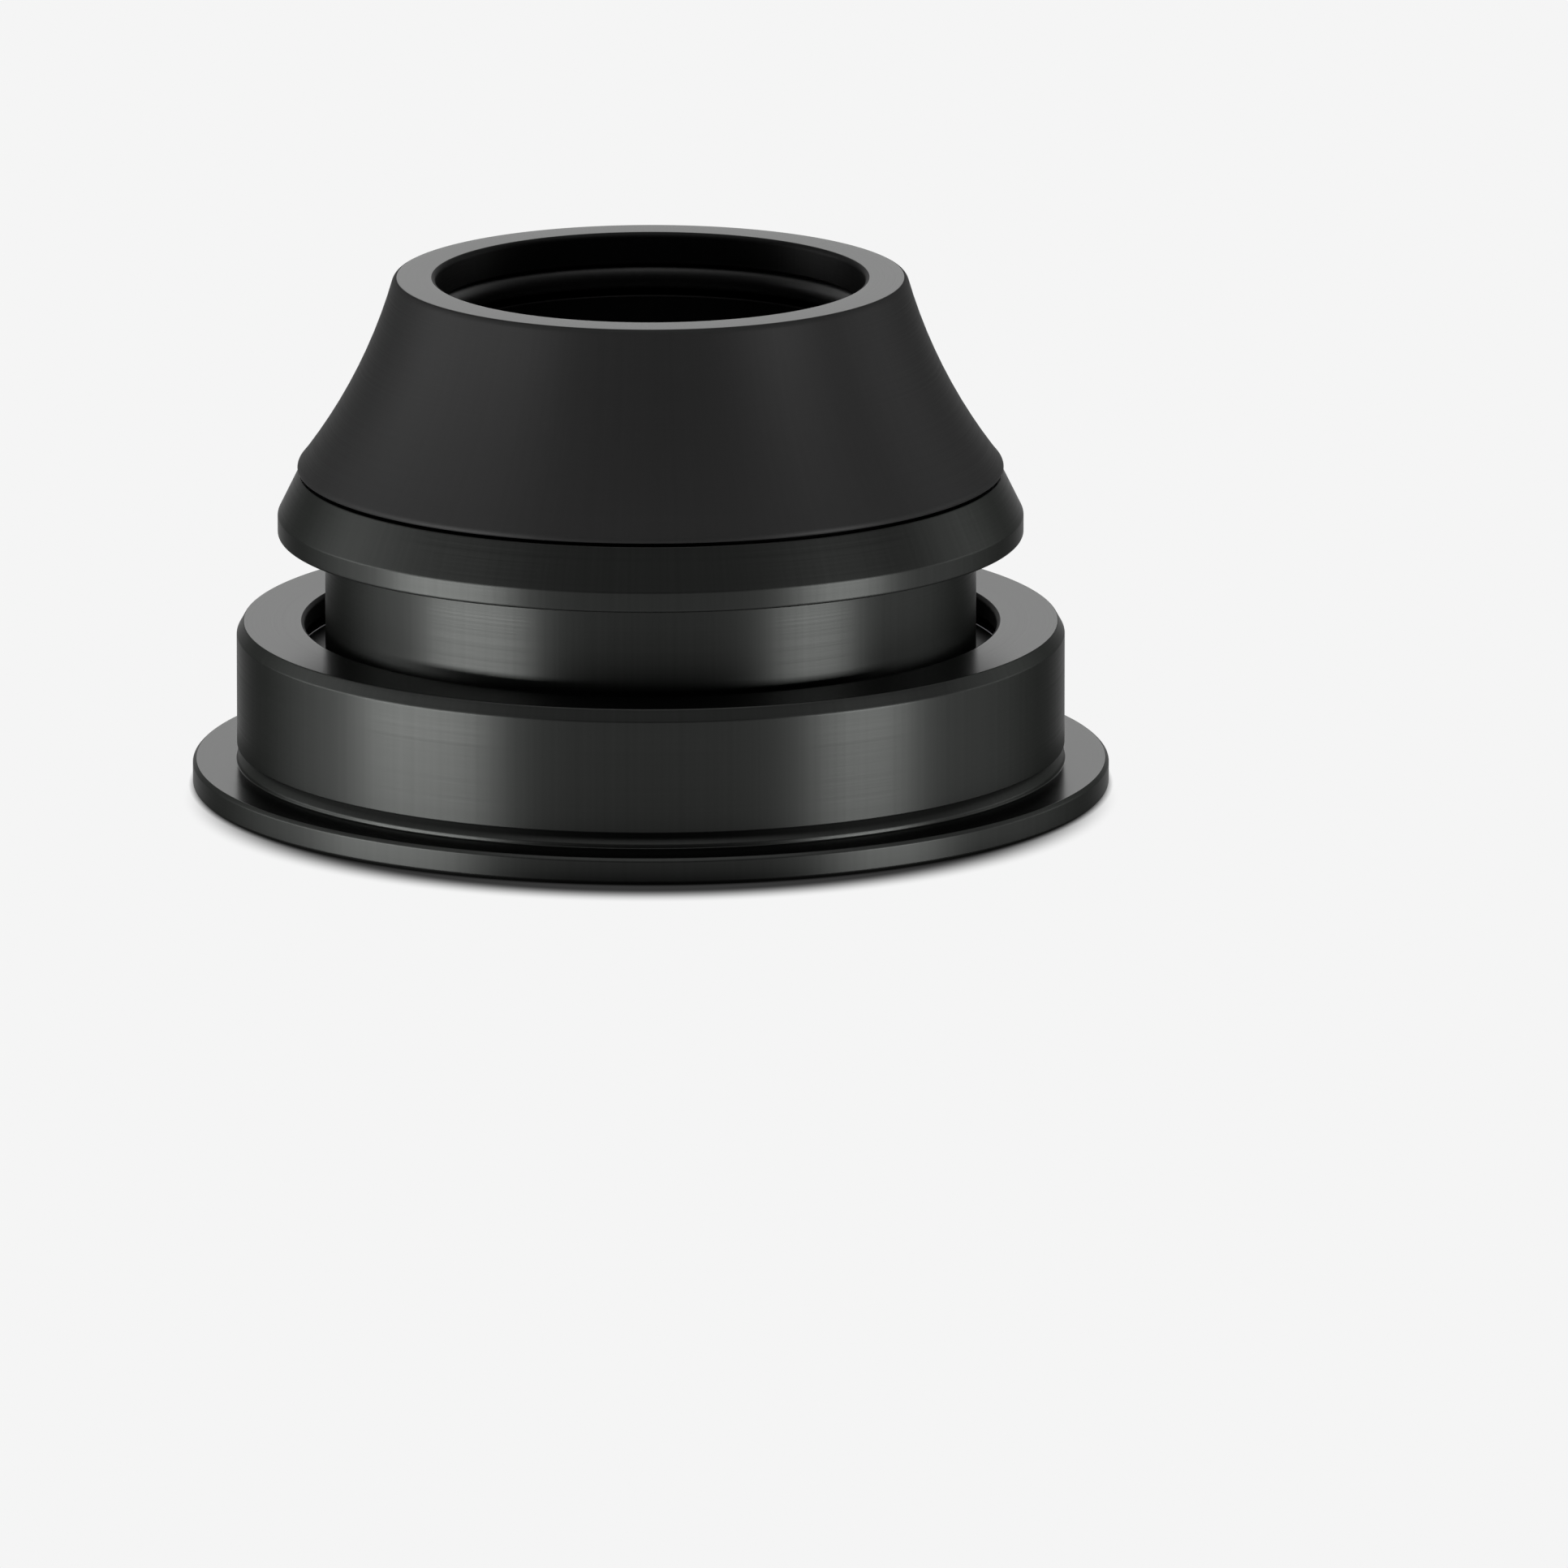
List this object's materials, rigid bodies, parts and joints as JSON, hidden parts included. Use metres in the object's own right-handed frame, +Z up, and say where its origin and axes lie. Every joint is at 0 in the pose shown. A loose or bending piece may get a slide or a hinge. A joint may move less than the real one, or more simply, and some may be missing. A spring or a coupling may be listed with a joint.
{
  "type": "bicycle headset",
  "caption": "Stacked bicycle headset: flanged press-in cups, cartridge bearings, crown race, split wedge ring and a tall conical top cover that turn on the steering axis.",
  "frame": {"origin": "centre of the lower flange's underside, on the steering axis", "axes": "+Z up along the steering axis, from the lower flange to the top cover; +X through the split of the compression ring"},
  "size_m": [0.062, 0.062, 0.0349],
  "materials": {
    "black_anodised": "black anodised, satin turned",
    "bearing_steel": "black oxide, ground",
    "ball_steel": "polished",
    "cage_nylon": "moulded",
    "black_rubber": "moulded, matt",
    "bare_aluminium": "bare, turned"
  },
  "bodies": {
    "cups": {"lower_cup": "black_anodised", "lower_outer_race": "bearing_steel", "lower_top_seal": "black_rubber", "lower_bottom_seal": "black_rubber", "upper_cup": "black_anodised", "upper_outer_race": "bearing_steel", "upper_top_seal": "black_rubber", "upper_bottom_seal": "black_rubber"},
    "crown_race_set": {"lower_inner_race": "bearing_steel", "crown_race": "black_anodised", "crown_race_seal": "black_rubber"},
    "lower_ball_set": {"lower_balls": "ball_steel", "lower_ball_cage": "cage_nylon"},
    "top_cover_set": {"upper_inner_race": "bearing_steel", "compression_ring": "bare_aluminium", "top_cover": "black_anodised", "top_cover_o_ring": "black_rubber", "top_cover_lip_seal": "black_rubber"},
    "upper_ball_set": {"upper_balls": "ball_steel", "upper_ball_cage": "cage_nylon"}
  },
  "joints": [
    {"name": "crown_race_turn", "type": "hinge", "parent": "cups", "child": "crown_race_set", "pos_m": [0, 0, 0.0055], "axis": [0, 0, 1], "continuous": true},
    {"name": "lower_balls_turn", "type": "hinge", "parent": "cups", "child": "lower_ball_set", "pos_m": [0, 0, 0.0055], "axis": [0, 0, 1], "continuous": true},
    {"name": "top_cover_turn", "type": "hinge", "parent": "cups", "child": "top_cover_set", "pos_m": [0, 0, 0.01515], "axis": [0, 0, 1], "continuous": true},
    {"name": "upper_balls_turn", "type": "hinge", "parent": "cups", "child": "upper_ball_set", "pos_m": [0, 0, 0.01515], "axis": [0, 0, 1], "continuous": true}
  ],
  "couplings": [
    {"joint": "lower_balls_turn", "follows": "crown_race_turn", "ratio": 0.4756},
    {"joint": "upper_balls_turn", "follows": "top_cover_turn", "ratio": 0.4724}
  ]
}
